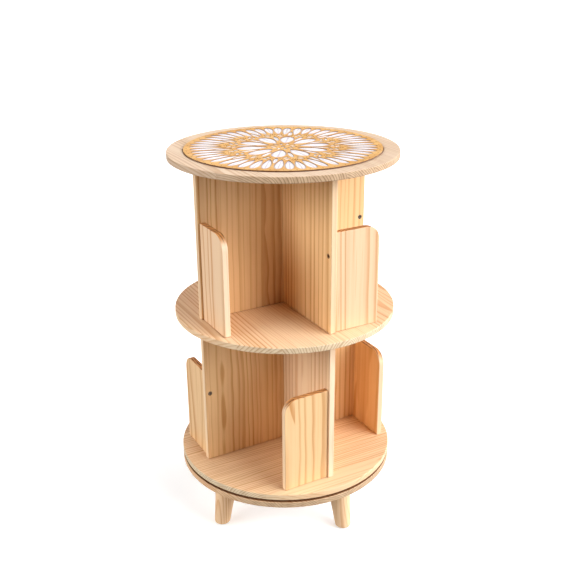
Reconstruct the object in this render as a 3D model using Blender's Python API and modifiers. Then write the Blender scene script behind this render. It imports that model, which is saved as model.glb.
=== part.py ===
"""Rotating display rack: three round boards on a turntable base, with crossed uprights and book stops.

Metres, +Z up. The origin is on the floor below the turning axis. The two uprights of each tier lie
along X and Y. The parts below the ball bearing stand still, and the parts above it turn as one.
"""

import math

import bmesh
import bpy
from mathutils import Matrix, Vector

# Driving dimensions
DISC_RADIUS = 0.200
BOARD = 0.011
TIER_PITCH = 0.285
LEG_HEIGHT = 0.098
TURNING_GAP = 0.005
FIT = 0.0003
EDGE_ROUND = 0.0012
DISC_SEGMENTS = 96
SHARP_ANGLE = math.radians(35)

# Uprights and stops
UPRIGHT_REACH = 0.168
STOP_OUTER_FACE = 0.1643
STOP_REACH = 0.092
STOP_HEIGHT = 0.177
STOP_CORNER = 0.026
STOP_CORNER_STEPS = 5
STOP_SCREW_HEIGHT = 0.137

# Wood screws and dowels
SCREW_HEAD_RADIUS = 0.004
SCREW_HEAD_HEIGHT = 0.0024
SCREW_SHANK_RADIUS = 0.0018
SCREW_LENGTH = 0.038
SCREW_SOCKET_RADIUS = 0.0018
SCREW_SOCKET_DEPTH = 0.0014
SCREW_SUNK = 0.0002
SMALL_SEGMENTS = 10
DOWEL_RADIUS = 0.003
DOWEL_DEPTH = 0.014
DOWEL_CHAMFER = 0.0006
FIXING_RADIUS = 0.110

# Legs, their bolts, tee nuts and glides
LEG_ANGLE = math.radians(12.4)
LEG_TOP_CENTRE = 0.1458
LEG_FOOT_CENTRE = 0.162
LEG_TOP_RADIUS = 0.0216
LEG_FOOT_RADIUS = 0.0146
LEG_FOOT_ROUND = 0.003
FOOT_ROUND_STEPS = 2
LEG_SEGMENTS = 24
BOLT_RADIUS = 0.004
BOLT_DEPTH = 0.030
TEE_FLANGE_RADIUS = 0.010
TEE_FLANGE = 0.0012
TEE_BARREL_RADIUS = 0.0053
TEE_BARREL = 0.008
GLIDE_RADIUS = 0.0085
GLIDE_HEIGHT = 0.002
GLIDE_ROUND = 0.0006

# Ornament let into the top board
ORNAMENT_RADIUS = 0.171
RECESS_MARGIN = 0.001
RECESS_DEPTH = 0.0015
BACKING = 0.0022
BACKING_INSET = 0.003
ORNAMENT_PROUD = 0.0022
RINGS_OF_OPENINGS = (
    # count, inner radius, outer radius, half width
    (12, 0.024, 0.088, 0.0125),
    (24, 0.104, 0.158, 0.0095),
)
OPENING_STEPS = 4
OPENING_FULLNESS = 1.2

# Ball bearing
PLATE = 0.001
PLATE_RADIUS = 0.050
PLATE_HOLE = 0.0081
DISH_RADIUS = 0.013
DISH = 0.0009
RACE_RADIUS = 0.036
RACE_HALF_WIDTH = 0.0020
RACE_DEPTH = 0.00035
BALL_RADIUS = 0.0013
BALLS = 10
BALL_SEGMENTS = 8
BALL_RINGS = 5
CAGE_HALF_WIDTH = 0.0026
CAGE = 0.0008
EYELET_BORE = 0.0063
EYELET_BARREL = 0.0075
EYELET_FLANGE_RADIUS = 0.0105
EYELET_FLANGE = 0.0005
BEARING_SEGMENTS = 32

# Levels, from the floor up
BASE_BOTTOM = LEG_HEIGHT
BASE_TOP = BASE_BOTTOM + BOARD
DECK_BOTTOM = BASE_TOP + TURNING_GAP
DECK_TOP = DECK_BOTTOM + BOARD
MIDDLE_TOP = DECK_TOP + TIER_PITCH
TOP_TOP = MIDDLE_TOP + TIER_PITCH
RECESS_FLOOR = TOP_TOP - RECESS_DEPTH

QUARTERS = [index * math.pi / 2 for index in range(4)]
LEG_ANGLES = [LEG_ANGLE + quarter for quarter in QUARTERS]
UP = Vector((0, 0, 1))
DOWN = -UP


def clear_scene():
    for old in list(bpy.data.objects):
        bpy.data.objects.remove(old)


def new_collection(name):
    collection = bpy.data.collections.new(name)
    bpy.context.scene.collection.children.link(collection)
    return collection


def new_empty(name):
    empty = bpy.data.objects.new(name, None)
    PARTS.objects.link(empty)
    return empty


def new_material(name, colour, roughness, metallic=0.0):
    material = bpy.data.materials.new(name)
    material.use_nodes = True
    shader = material.node_tree.nodes["Principled BSDF"]
    shader.inputs["Base Color"].default_value = (*colour, 1.0)
    shader.inputs["Roughness"].default_value = roughness
    shader.inputs["Metallic"].default_value = metallic
    return material


def add_part(name, mesh, material, parent, location=(0, 0, 0)):
    part = bpy.data.objects.new(name, mesh)
    PARTS.objects.link(part)
    part.data.materials.append(material)
    part.parent = parent
    part.location = location
    return part


def add_cutter(name, mesh, location=(0, 0, 0)):
    cutter = bpy.data.objects.new(name, mesh)
    CUTTERS.objects.link(cutter)
    cutter.location = location
    cutter.hide_render = True
    cutter.display_type = "WIRE"
    return cutter


def aim(part, direction):
    """Turns the part's own +Z to the direction."""
    part.rotation_mode = "QUATERNION"
    part.rotation_quaternion = direction.to_track_quat("Z", "Y")


def polar(radius, angle, height):
    return Vector((radius * math.cos(angle), radius * math.sin(angle), height))


def cut(part, cutter):
    modifier = part.modifiers.new(cutter.name, "BOOLEAN")
    modifier.operation = "DIFFERENCE"
    modifier.object = cutter


def round_edges(part, width=EDGE_ROUND):
    modifier = part.modifiers.new("rounded_edges", "BEVEL")
    modifier.width = width
    modifier.segments = 1
    modifier.limit_method = "ANGLE"


def cylinder_mesh(name, radius, height, segments):
    """A cylinder standing on its local origin."""
    mesh = bpy.data.meshes.new(name)
    shape = bmesh.new()
    bmesh.ops.create_cone(
        shape, cap_ends=True, segments=segments, radius1=radius, radius2=radius, depth=height
    )
    bmesh.ops.translate(shape, verts=shape.verts, vec=(0, 0, height / 2))
    shape.to_mesh(mesh)
    shape.free()
    mesh.shade_smooth()
    mesh.set_sharp_from_angle(angle=SHARP_ANGLE)
    return mesh


def box_mesh(name, size):
    """A box about its local origin."""
    mesh = bpy.data.meshes.new(name)
    shape = bmesh.new()
    bmesh.ops.create_cube(shape, size=1.0)
    bmesh.ops.scale(shape, verts=shape.verts, vec=size)
    shape.to_mesh(mesh)
    shape.free()
    return mesh


def profile_mesh(name, points, closed=False):
    """A profile of (radius, height) points in the local XZ plane, joined in order."""
    mesh = bpy.data.meshes.new(name)
    edges = [(index, index + 1) for index in range(len(points) - 1)]
    if closed:
        edges.append((len(points) - 1, 0))
    mesh.from_pydata([(radius, 0, height) for radius, height in points], edges, [])
    return mesh


def turn(part, segments):
    modifier = part.modifiers.new("turned", "SCREW")
    modifier.steps = segments
    modifier.render_steps = segments
    modifier.use_merge_vertices = True
    modifier.merge_threshold = 0.00001
    modifier.use_smooth_shade = False


def screw_profile():
    """A countersunk wood screw whose head lies at height 0 and whose shank points down."""
    return [
        (0, -SCREW_SOCKET_DEPTH),
        (SCREW_SOCKET_RADIUS, -SCREW_SOCKET_DEPTH),
        (SCREW_SOCKET_RADIUS, 0),
        (SCREW_HEAD_RADIUS, 0),
        (SCREW_SHANK_RADIUS, -SCREW_HEAD_HEIGHT),
        (SCREW_SHANK_RADIUS, -SCREW_LENGTH + SCREW_SHANK_RADIUS),
        (0, -SCREW_LENGTH),
    ]


def screw_hole_profile():
    """The countersink and pilot hole for the screw, with clearance all round."""
    head = SCREW_HEAD_RADIUS + FIT
    shank = SCREW_SHANK_RADIUS + FIT
    bottom = -SCREW_LENGTH - FIT
    return [
        (0, SCREW_HEAD_HEIGHT),
        (head, SCREW_HEAD_HEIGHT),
        (head, 0),
        (shank, -SCREW_HEAD_HEIGHT),
        (shank, bottom),
        (0, bottom),
    ]


def add_screw(name, face_point, direction, cut_parts):
    """A screw that enters at face_point against direction, which points out of its head."""
    place = face_point - direction * SCREW_SUNK
    screw = add_part(name, profile_mesh(name, screw_profile()), STEEL, RACK, place)
    aim(screw, direction)
    turn(screw, SMALL_SEGMENTS)
    hole = add_cutter(name + "_hole", profile_mesh(name + "_hole", screw_hole_profile()), place)
    aim(hole, direction)
    turn(hole, SMALL_SEGMENTS)
    for part in cut_parts:
        cut(part, hole)


def add_disc(name, bottom, parent):
    disc = add_part(
        name, cylinder_mesh(name, DISC_RADIUS, BOARD, DISC_SEGMENTS), PINE, parent, (0, 0, bottom)
    )
    round_edges(disc)
    return disc


def add_upright(name, bottom, top, along_x):
    """One full-width board on edge, which a slot halves into the board that crosses it."""
    height = top - bottom
    middle = (bottom + top) / 2
    size = (2 * UPRIGHT_REACH, BOARD, height) if along_x else (BOARD, 2 * UPRIGHT_REACH, height)
    upright = add_part(name, box_mesh(name, size), PINE, RACK, (0, 0, middle))
    round_edges(upright)
    slot_width = BOARD + 2 * FIT
    slot = add_cutter(name + "_slot", box_mesh(name + "_slot", (slot_width, slot_width, height)))
    half = height / 2 - FIT / 2
    slot.location.z = middle + half if along_x else middle - half
    cut(upright, slot)
    return upright


def stop_outline():
    """The stop's face as (reach, height) points, with a round top outer corner."""
    first = BOARD / 2 + FIT
    points = [(first, 0), (STOP_REACH, 0)]
    for step in range(STOP_CORNER_STEPS + 1):
        angle = step / STOP_CORNER_STEPS * math.pi / 2
        reach = STOP_REACH - STOP_CORNER + STOP_CORNER * math.cos(angle)
        height = STOP_HEIGHT - STOP_CORNER + STOP_CORNER * math.sin(angle)
        points.append((reach, height))
    points.append((first, STOP_HEIGHT))
    return points


def stop_mesh(name):
    """The stop with its thickness along local X, from its outer face inwards, reaching along +Y."""
    mesh = bpy.data.meshes.new(name)
    shape = bmesh.new()
    face = shape.faces.new([shape.verts.new((0, reach, height)) for reach, height in stop_outline()])
    grown = bmesh.ops.extrude_face_region(shape, geom=[face])
    moved = [item for item in grown["geom"] if isinstance(item, bmesh.types.BMVert)]
    bmesh.ops.translate(shape, verts=moved, vec=(-BOARD, 0, 0))
    bmesh.ops.recalc_face_normals(shape, faces=shape.faces)
    shape.to_mesh(mesh)
    shape.free()
    return mesh


def add_tier(tier, floor, ceiling, turn_sign):
    """Crossed uprights with a stop at each of their four ends; turn_sign says which way stops point."""
    bottom = floor + FIT
    uprights = [
        add_upright(f"{tier}_upright_x", bottom, ceiling - FIT, True),
        add_upright(f"{tier}_upright_y", bottom, ceiling - FIT, False),
    ]
    for index, angle in enumerate(QUARTERS):
        name = f"{tier}_stop_{index + 1}"
        stop = add_part(name, stop_mesh(name), PINE, RACK, polar(STOP_OUTER_FACE, angle, bottom))
        stop.rotation_euler.z = angle
        if turn_sign < 0:
            stop.data.transform(Matrix.Scale(-1, 4, (0, 1, 0)))
            stop.data.flip_normals()
        round_edges(stop)
        sideways = polar(turn_sign, angle + math.pi / 2, 0)
        face = polar(STOP_OUTER_FACE - BOARD / 2, angle, bottom + STOP_SCREW_HEIGHT)
        face -= sideways * BOARD / 2
        add_screw(f"{tier}_stop_screw_{index + 1}", face, -sideways, [uprights[index % 2], stop])
    return uprights


def add_fixing_screws(name, height, direction, disc, uprights):
    """Four screws through a disc into the edges of the uprights beyond it."""
    for index, angle in enumerate(QUARTERS):
        face = polar(FIXING_RADIUS, angle, height)
        add_screw(f"{name}_{index + 1}", face, direction, [disc, uprights[index % 2]])


def add_dowels(shelf, lower, upper):
    """Four dowels through the middle shelf, each standing in an upright below and one above."""
    length = BOARD + 2 * (FIT + DOWEL_DEPTH)
    bottom = MIDDLE_TOP - BOARD / 2 - length / 2
    for index, angle in enumerate(QUARTERS):
        name = f"middle_dowel_{index + 1}"
        mesh = cylinder_mesh(name, DOWEL_RADIUS, length, SMALL_SEGMENTS)
        dowel = add_part(name, mesh, BEECH, RACK, polar(FIXING_RADIUS, angle, bottom))
        round_edges(dowel, DOWEL_CHAMFER)
        bore_mesh = cylinder_mesh(
            name + "_bore", DOWEL_RADIUS + FIT, length + 2 * FIT, SMALL_SEGMENTS
        )
        bore = add_cutter(name + "_bore", bore_mesh, polar(FIXING_RADIUS, angle, bottom - FIT))
        for part in (shelf, lower[index % 2], upper[index % 2]):
            cut(part, bore)


def opening_outline(centre, inner, outer, half_width):
    """A pointed leaf along a radius: up one side and back down the other."""
    side = []
    for step in range(1, OPENING_STEPS):
        share = step / OPENING_STEPS
        radius = inner + (outer - inner) * share
        side.append((radius, half_width * math.sin(math.pi * share ** OPENING_FULLNESS)))
    leaf = [(inner, 0)] + side + [(outer, 0)] + [(radius, -width) for radius, width in side[::-1]]
    return [Matrix.Rotation(centre, 3, "Z") @ Vector((x, y, 0)) for x, y in leaf]


def add_spline(curve, points):
    spline = curve.splines.new("POLY")
    spline.points.add(len(points) - 1)
    for point, place in zip(spline.points, points):
        point.co = (*place, 1.0)
    spline.use_cyclic_u = True


def add_ornament(top_board):
    """A thin fretwork plate over a white backing panel, which lies in a recess of the top board."""
    recess_mesh = cylinder_mesh(
        "recess", ORNAMENT_RADIUS + RECESS_MARGIN, 2 * RECESS_DEPTH, DISC_SEGMENTS
    )
    cut(top_board, add_cutter("recess", recess_mesh, (0, 0, RECESS_FLOOR)))
    backing_radius = ORNAMENT_RADIUS - BACKING_INSET
    backing_mesh = cylinder_mesh("ornament_backing", backing_radius, BACKING, DISC_SEGMENTS)
    add_part("ornament_backing", backing_mesh, WHITE, RACK, (0, 0, RECESS_FLOOR + FIT))

    bottom = RECESS_FLOOR + BACKING + 2 * FIT
    top = TOP_TOP + ORNAMENT_PROUD
    curve = bpy.data.curves.new("ornament_fretwork", "CURVE")
    curve.dimensions = "2D"
    curve.fill_mode = "BOTH"
    curve.extrude = (top - bottom) / 2
    rim = [index * math.tau / DISC_SEGMENTS for index in range(DISC_SEGMENTS)]
    add_spline(curve, [polar(ORNAMENT_RADIUS, angle, 0) for angle in rim])
    for count, inner, outer, half_width in RINGS_OF_OPENINGS:
        for index in range(count):
            centre = (index + 0.5) * math.tau / count
            add_spline(curve, opening_outline(centre, inner, outer, half_width))
    add_part("ornament_fretwork", curve, GOLD_WOOD, RACK, (0, 0, (bottom + top) / 2))


def plate_profile(sign):
    """A bearing plate as a closed profile about the mid plane, its race open towards that plane."""
    outer_face = TURNING_GAP / 2 - FIT
    inner_face = outer_face - PLATE
    race_in = RACE_RADIUS - RACE_HALF_WIDTH
    race_out = RACE_RADIUS + RACE_HALF_WIDTH
    points = [
        (PLATE_HOLE, outer_face - DISH),
        (DISH_RADIUS, outer_face - DISH),
        (DISH_RADIUS + DISH, outer_face),
        (PLATE_RADIUS, outer_face),
        (PLATE_RADIUS, inner_face),
        (race_out, inner_face),
        (race_out - RACE_DEPTH, inner_face + RACE_DEPTH),
        (race_in + RACE_DEPTH, inner_face + RACE_DEPTH),
        (race_in, inner_face),
        (DISH_RADIUS + DISH, inner_face),
        (DISH_RADIUS, inner_face - DISH),
        (PLATE_HOLE, inner_face - DISH),
    ]
    return points if sign > 0 else [(radius, -height) for radius, height in points[::-1]]


def add_bearing():
    middle = (0, 0, BASE_TOP + TURNING_GAP / 2)
    for name, sign, parent in (
        ("bearing_upper_plate", 1, RACK),
        ("bearing_lower_plate", -1, BASE),
    ):
        plate = add_part(name, profile_mesh(name, plate_profile(sign), True), STEEL, parent, middle)
        turn(plate, BEARING_SEGMENTS)

    face = TURNING_GAP / 2 - DISH
    flange = face + EYELET_FLANGE
    half = [(EYELET_BARREL, face), (EYELET_FLANGE_RADIUS, face), (EYELET_FLANGE_RADIUS, flange)]
    upper = [(EYELET_BORE, flange)] + half[::-1]
    lower = [(radius, -height) for radius, height in upper[::-1]]
    eyelet_mesh = profile_mesh("bearing_eyelet", upper + lower, True)
    eyelet = add_part("bearing_eyelet", eyelet_mesh, STEEL, BASE, middle)
    turn(eyelet, BEARING_SEGMENTS)
    add_ball_cage(middle)


def add_ball_cage(middle):
    """A flat ring with the balls held in it, joined into one body."""
    outer = RACE_RADIUS + CAGE_HALF_WIDTH
    inner = RACE_RADIUS - CAGE_HALF_WIDTH
    ring = [(inner, CAGE / 2), (outer, CAGE / 2), (outer, -CAGE / 2), (inner, -CAGE / 2)]
    cage_mesh = profile_mesh("bearing_ball_cage", ring, True)
    cage = add_part("bearing_ball_cage", cage_mesh, STEEL, BALL_CAGE, middle)
    turn(cage, BEARING_SEGMENTS)
    for index in range(BALLS):
        mesh = bpy.data.meshes.new("ball")
        shape = bmesh.new()
        bmesh.ops.create_uvsphere(
            shape, u_segments=BALL_SEGMENTS, v_segments=BALL_RINGS, radius=BALL_RADIUS
        )
        shape.to_mesh(mesh)
        shape.free()
        place = polar(RACE_RADIUS, (index + 0.5) * math.tau / BALLS, middle[2])
        ball = add_cutter(f"ball_{index + 1}", mesh, place)
        modifier = cage.modifiers.new(ball.name, "BOOLEAN")
        modifier.operation = "UNION"
        modifier.object = ball


def leg_profile():
    """A tapered leg hanging from height 0, with the bolt's hole down its middle."""
    top = -FIT
    foot = -LEG_HEIGHT + GLIDE_HEIGHT + FIT
    hole = BOLT_RADIUS + FIT
    points = [(0, -BOLT_DEPTH - FIT), (hole, -BOLT_DEPTH - FIT), (hole, top)]
    points += [(LEG_TOP_RADIUS - EDGE_ROUND, top), (LEG_TOP_RADIUS, top - EDGE_ROUND)]
    for step in range(FOOT_ROUND_STEPS + 1):
        angle = step / FOOT_ROUND_STEPS * math.pi / 2
        radius = LEG_FOOT_RADIUS - LEG_FOOT_ROUND * (1 - math.cos(angle))
        points.append((radius, foot + LEG_FOOT_ROUND * (1 - math.sin(angle))))
    points.append((0, foot))
    return points


def lean(part, angle):
    """Replaces the turned part by a mesh whose foot leans outwards while its ends stay level."""
    graph = bpy.context.evaluated_depsgraph_get()
    mesh = bpy.data.meshes.new_from_object(part.evaluated_get(graph))
    slope = (LEG_FOOT_CENTRE - LEG_TOP_CENTRE) / LEG_HEIGHT
    leaning = Matrix.Identity(4)
    leaning[0][2] = -slope * math.cos(angle)
    leaning[1][2] = -slope * math.sin(angle)
    hole_depth = -BOLT_DEPTH - 2 * FIT
    for vertex in mesh.vertices:
        in_hole = vertex.co.z > hole_depth and vertex.co.xy.length < BOLT_RADIUS + 2 * FIT
        if not in_hole:
            vertex.co = leaning @ vertex.co
    part.modifiers.clear()
    part.data = mesh
    mesh.shade_smooth()
    mesh.set_sharp_from_angle(angle=SHARP_ANGLE)


def bolt_profile():
    """A double-ended bolt: its lower half sits in the leg and its upper half in the tee nut."""
    top = BOARD + FIT + TEE_FLANGE
    chamfer = BOLT_RADIUS / 5
    return [
        (0, top),
        (BOLT_RADIUS - chamfer, top),
        (BOLT_RADIUS, top - chamfer),
        (BOLT_RADIUS, -BOLT_DEPTH + BOLT_RADIUS),
        (0, -BOLT_DEPTH),
    ]


def tee_nut_profile():
    """A tee nut hanging from a flange whose underside is at height 0."""
    bore = BOLT_RADIUS + FIT
    return [
        (bore, TEE_FLANGE),
        (TEE_FLANGE_RADIUS, TEE_FLANGE),
        (TEE_FLANGE_RADIUS, 0),
        (TEE_BARREL_RADIUS, 0),
        (TEE_BARREL_RADIUS, -TEE_BARREL),
        (bore, -TEE_BARREL),
    ]


def add_legs(base_board):
    for index, angle in enumerate(LEG_ANGLES):
        number = index + 1
        top = polar(LEG_TOP_CENTRE, angle, BASE_BOTTOM)
        leg = add_part(f"leg_{number}", profile_mesh(f"leg_{number}", leg_profile()), PINE, BASE, top)
        turn(leg, LEG_SEGMENTS)
        lean(leg, angle)

        bolt = add_part(
            f"hanger_bolt_{number}", profile_mesh("hanger_bolt", bolt_profile()), STEEL, BASE, top
        )
        turn(bolt, SMALL_SEGMENTS)

        nut_place = polar(LEG_TOP_CENTRE, angle, BASE_TOP + FIT)
        nut = add_part(
            f"tee_nut_{number}", profile_mesh("tee_nut", tee_nut_profile(), True), STEEL, BASE, nut_place
        )
        turn(nut, SMALL_SEGMENTS)

        bore_mesh = cylinder_mesh("tee_bore", TEE_BARREL_RADIUS + FIT, 3 * BOARD, SMALL_SEGMENTS)
        cut(base_board, add_cutter(f"tee_bore_{number}", bore_mesh, top - UP * BOARD))

        glide_mesh = cylinder_mesh("glide", GLIDE_RADIUS, GLIDE_HEIGHT, LEG_SEGMENTS)
        glide = add_part(
            f"glide_{number}", glide_mesh, GLIDE_PLASTIC, BASE, polar(LEG_FOOT_CENTRE, angle, 0)
        )
        round_edges(glide, GLIDE_ROUND)


def build_rack():
    base_board = add_disc("base_board", BASE_BOTTOM, BASE)
    add_legs(base_board)
    add_bearing()
    deck = add_disc("turntable_deck", DECK_BOTTOM, RACK)
    lower = add_tier("lower", DECK_TOP, MIDDLE_TOP - BOARD, -1)
    add_fixing_screws("deck_screw", DECK_BOTTOM, DOWN, deck, lower)
    shelf = add_disc("middle_shelf", MIDDLE_TOP - BOARD, RACK)
    upper = add_tier("upper", MIDDLE_TOP, TOP_TOP - BOARD, 1)
    add_dowels(shelf, lower, upper)
    top_board = add_disc("top_board", TOP_TOP - BOARD, RACK)
    add_ornament(top_board)
    add_fixing_screws("top_screw", RECESS_FLOOR, UP, top_board, upper)


clear_scene()
PARTS = new_collection("rotating_display_rack")
CUTTERS = new_collection("cutters")
BASE = new_empty("base_origin")
RACK = new_empty("rack_turning_axis")
BALL_CAGE = new_empty("ball_cage_turning_axis")
PINE = new_material("pine", (0.80, 0.60, 0.40), 0.5)
BEECH = new_material("beech", (0.72, 0.50, 0.30), 0.55)
GOLD_WOOD = new_material("golden_wood", (0.66, 0.42, 0.20), 0.45)
WHITE = new_material("white_backing", (0.88, 0.86, 0.82), 0.6)
STEEL = new_material("zinc_plated_steel", (0.62, 0.62, 0.60), 0.35, 1.0)
GLIDE_PLASTIC = new_material("glide_plastic", (0.75, 0.70, 0.60), 0.6)
build_rack()
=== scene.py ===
"""Looks of the rotating display rack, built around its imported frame.

Metres, +Z up, in the frame's own coordinates. The boards are edge-glued pine, the ornament is a
golden fretwork over carved white petals, and the ironmongery is zinc-plated steel.
"""

import math

import bmesh
import bpy
from mathutils import Matrix, Vector
from mathutils.geometry import delaunay_2d_cdt


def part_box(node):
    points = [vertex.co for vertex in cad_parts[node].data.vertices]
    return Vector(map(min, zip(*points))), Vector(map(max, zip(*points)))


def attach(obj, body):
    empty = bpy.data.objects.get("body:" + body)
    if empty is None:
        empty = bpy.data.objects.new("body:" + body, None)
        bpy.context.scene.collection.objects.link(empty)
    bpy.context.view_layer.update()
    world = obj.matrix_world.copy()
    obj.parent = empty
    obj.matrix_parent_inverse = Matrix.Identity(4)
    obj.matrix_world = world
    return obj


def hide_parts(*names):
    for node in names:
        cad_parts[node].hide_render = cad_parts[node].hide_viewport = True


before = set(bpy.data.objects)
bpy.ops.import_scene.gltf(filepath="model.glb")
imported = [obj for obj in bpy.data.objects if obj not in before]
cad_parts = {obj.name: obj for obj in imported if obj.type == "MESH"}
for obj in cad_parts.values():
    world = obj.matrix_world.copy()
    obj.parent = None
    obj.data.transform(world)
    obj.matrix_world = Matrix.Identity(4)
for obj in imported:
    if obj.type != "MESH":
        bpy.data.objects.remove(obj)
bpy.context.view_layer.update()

# Sizes that the frame's boxes don't say
EDGE_ROUND = 0.0013
ROUND_STEPS = 4
FIT = 0.0003
SMOOTH_ANGLE = 35
BOARD_SMOOTH_ANGLE = 30
SMALL_SMOOTH_ANGLE = 40

NUMBERS = (1, 2, 3, 4)
QUARTERS = [index * math.pi / 2 for index in range(4)]
SCENE = bpy.context.scene
UP = Vector((0, 0, 1))


# -------------------- meshes

def polar(radius, angle, height=0.0):
    return Vector((radius * math.cos(angle), radius * math.sin(angle), height))


def add_object(name, mesh):
    piece = bpy.data.objects.new(name, mesh)
    SCENE.collection.objects.link(piece)
    return piece


def mesh_from(shape, name):
    bmesh.ops.recalc_face_normals(shape, faces=shape.faces)
    mesh = bpy.data.meshes.new(name)
    shape.to_mesh(mesh)
    shape.free()
    return mesh


def lathe(name, profile, segments):
    """A closed solid turned about Z from (radius, height) points; radius 0 makes a pole."""
    shape = bmesh.new()
    rings = []
    for radius, height in profile:
        if radius == 0:
            rings.append([shape.verts.new((0, 0, height))])
        else:
            step = math.tau / segments
            rings.append([shape.verts.new(polar(radius, i * step, height)) for i in range(segments)])
    for below, above in zip(rings, rings[1:]):
        for i in range(segments):
            j = (i + 1) % segments
            corners = [below[i % len(below)], below[j % len(below)]]
            corners += [above[j % len(above)], above[i % len(above)]]
            unique = list(dict.fromkeys(corners))
            if len(unique) > 2:
                shape.faces.new(unique)
    return mesh_from(shape, name)


def fillet(points, radii, steps):
    """Replaces each corner that has a radius by an arc; the first and last points stay."""
    result = []
    last = len(points) - 1
    for index, (point, radius) in enumerate(zip(points, radii)):
        here = Vector(point)
        if radius == 0 or index in (0, last):
            result.append(tuple(here))
            continue
        back = (Vector(points[index - 1]) - here).normalized()
        ahead = (Vector(points[index + 1]) - here).normalized()
        half = back.angle(ahead) / 2
        reach = radius / math.tan(half)
        centre = here + (back + ahead).normalized() * radius / math.sin(half)
        start = here + back * reach - centre
        end = here + ahead * reach - centre
        sweep = start.angle_signed(end)
        for step in range(steps + 1):
            turned = Matrix.Rotation(-sweep * step / steps, 2) @ start
            result.append(tuple(centre + turned))
    return result


def slab(name, outline, thickness, place, is_rounded):
    """An outline extruded both ways from its plane, with chosen edges rounded.

    place maps the flat (u, v, w) to the rack; is_rounded says which edges, from their middles.
    """
    shape = bmesh.new()
    front = [shape.verts.new((u, v, thickness / 2)) for u, v in outline]
    back = [shape.verts.new((u, v, -thickness / 2)) for u, v in outline]
    shape.faces.new(front)
    shape.faces.new(back[::-1])
    for i in range(len(outline)):
        j = (i + 1) % len(outline)
        shape.faces.new([front[j], front[i], back[i], back[j]])
    bmesh.ops.recalc_face_normals(shape, faces=shape.faces)
    sharp = math.radians(BOARD_SMOOTH_ANGLE)
    chosen = [
        edge for edge in shape.edges
        if edge.calc_face_angle(0) > sharp and is_rounded((edge.verts[0].co + edge.verts[1].co) / 2)
    ]
    bmesh.ops.bevel(
        shape, geom=chosen, offset=EDGE_ROUND, segments=ROUND_STEPS, profile=0.5, affect="EDGES",
        clamp_overlap=True,
    )
    shape.transform(place)
    return mesh_from(shape, name)


def cut_mesh(mesh, cutter_meshes):
    """The mesh with the cutters' shapes cut out of it."""
    blank = add_object("blank", mesh)
    cutters = []
    for index, cutter_mesh in enumerate(cutter_meshes):
        cutter = add_object(f"cutter_{index}", cutter_mesh)
        cutters.append(cutter)
        modifier = blank.modifiers.new("cut", "BOOLEAN")
        modifier.operation = "DIFFERENCE"
        modifier.solver = "EXACT"
        modifier.object = cutter
    graph = bpy.context.evaluated_depsgraph_get()
    graph.update()
    result = bpy.data.meshes.new_from_object(blank.evaluated_get(graph))
    for spare in cutters + [blank]:
        bpy.data.objects.remove(spare)
    return result


def smooth(piece, angle):
    """Smooth shading whose flat faces stay flat."""
    piece.data.shade_smooth()
    piece.data.set_sharp_from_angle(angle=math.radians(angle))
    modifier = piece.modifiers.new("flat_faces", "WEIGHTED_NORMAL")
    modifier.keep_sharp = True
    modifier.weight = 100


def aimed(mesh, direction, place):
    """Turns the mesh's +Z to the direction and moves its origin to the place."""
    turned = direction.to_track_quat("Z", "Y").to_matrix().to_4x4()
    mesh.transform(Matrix.Translation(place) @ turned)
    return mesh


def add_piece(name, mesh, body, material, stands_for, angle=BOARD_SMOOTH_ANGLE):
    """A visible piece that rides on a body; edges up to the angle look smooth."""
    piece = add_object(name, mesh)
    piece.data.materials.clear()
    piece.data.materials.append(material)
    smooth(piece, angle)
    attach(piece, body)
    if stands_for:
        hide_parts(*stands_for)
    return piece


# -------------------- material graphs

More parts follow.
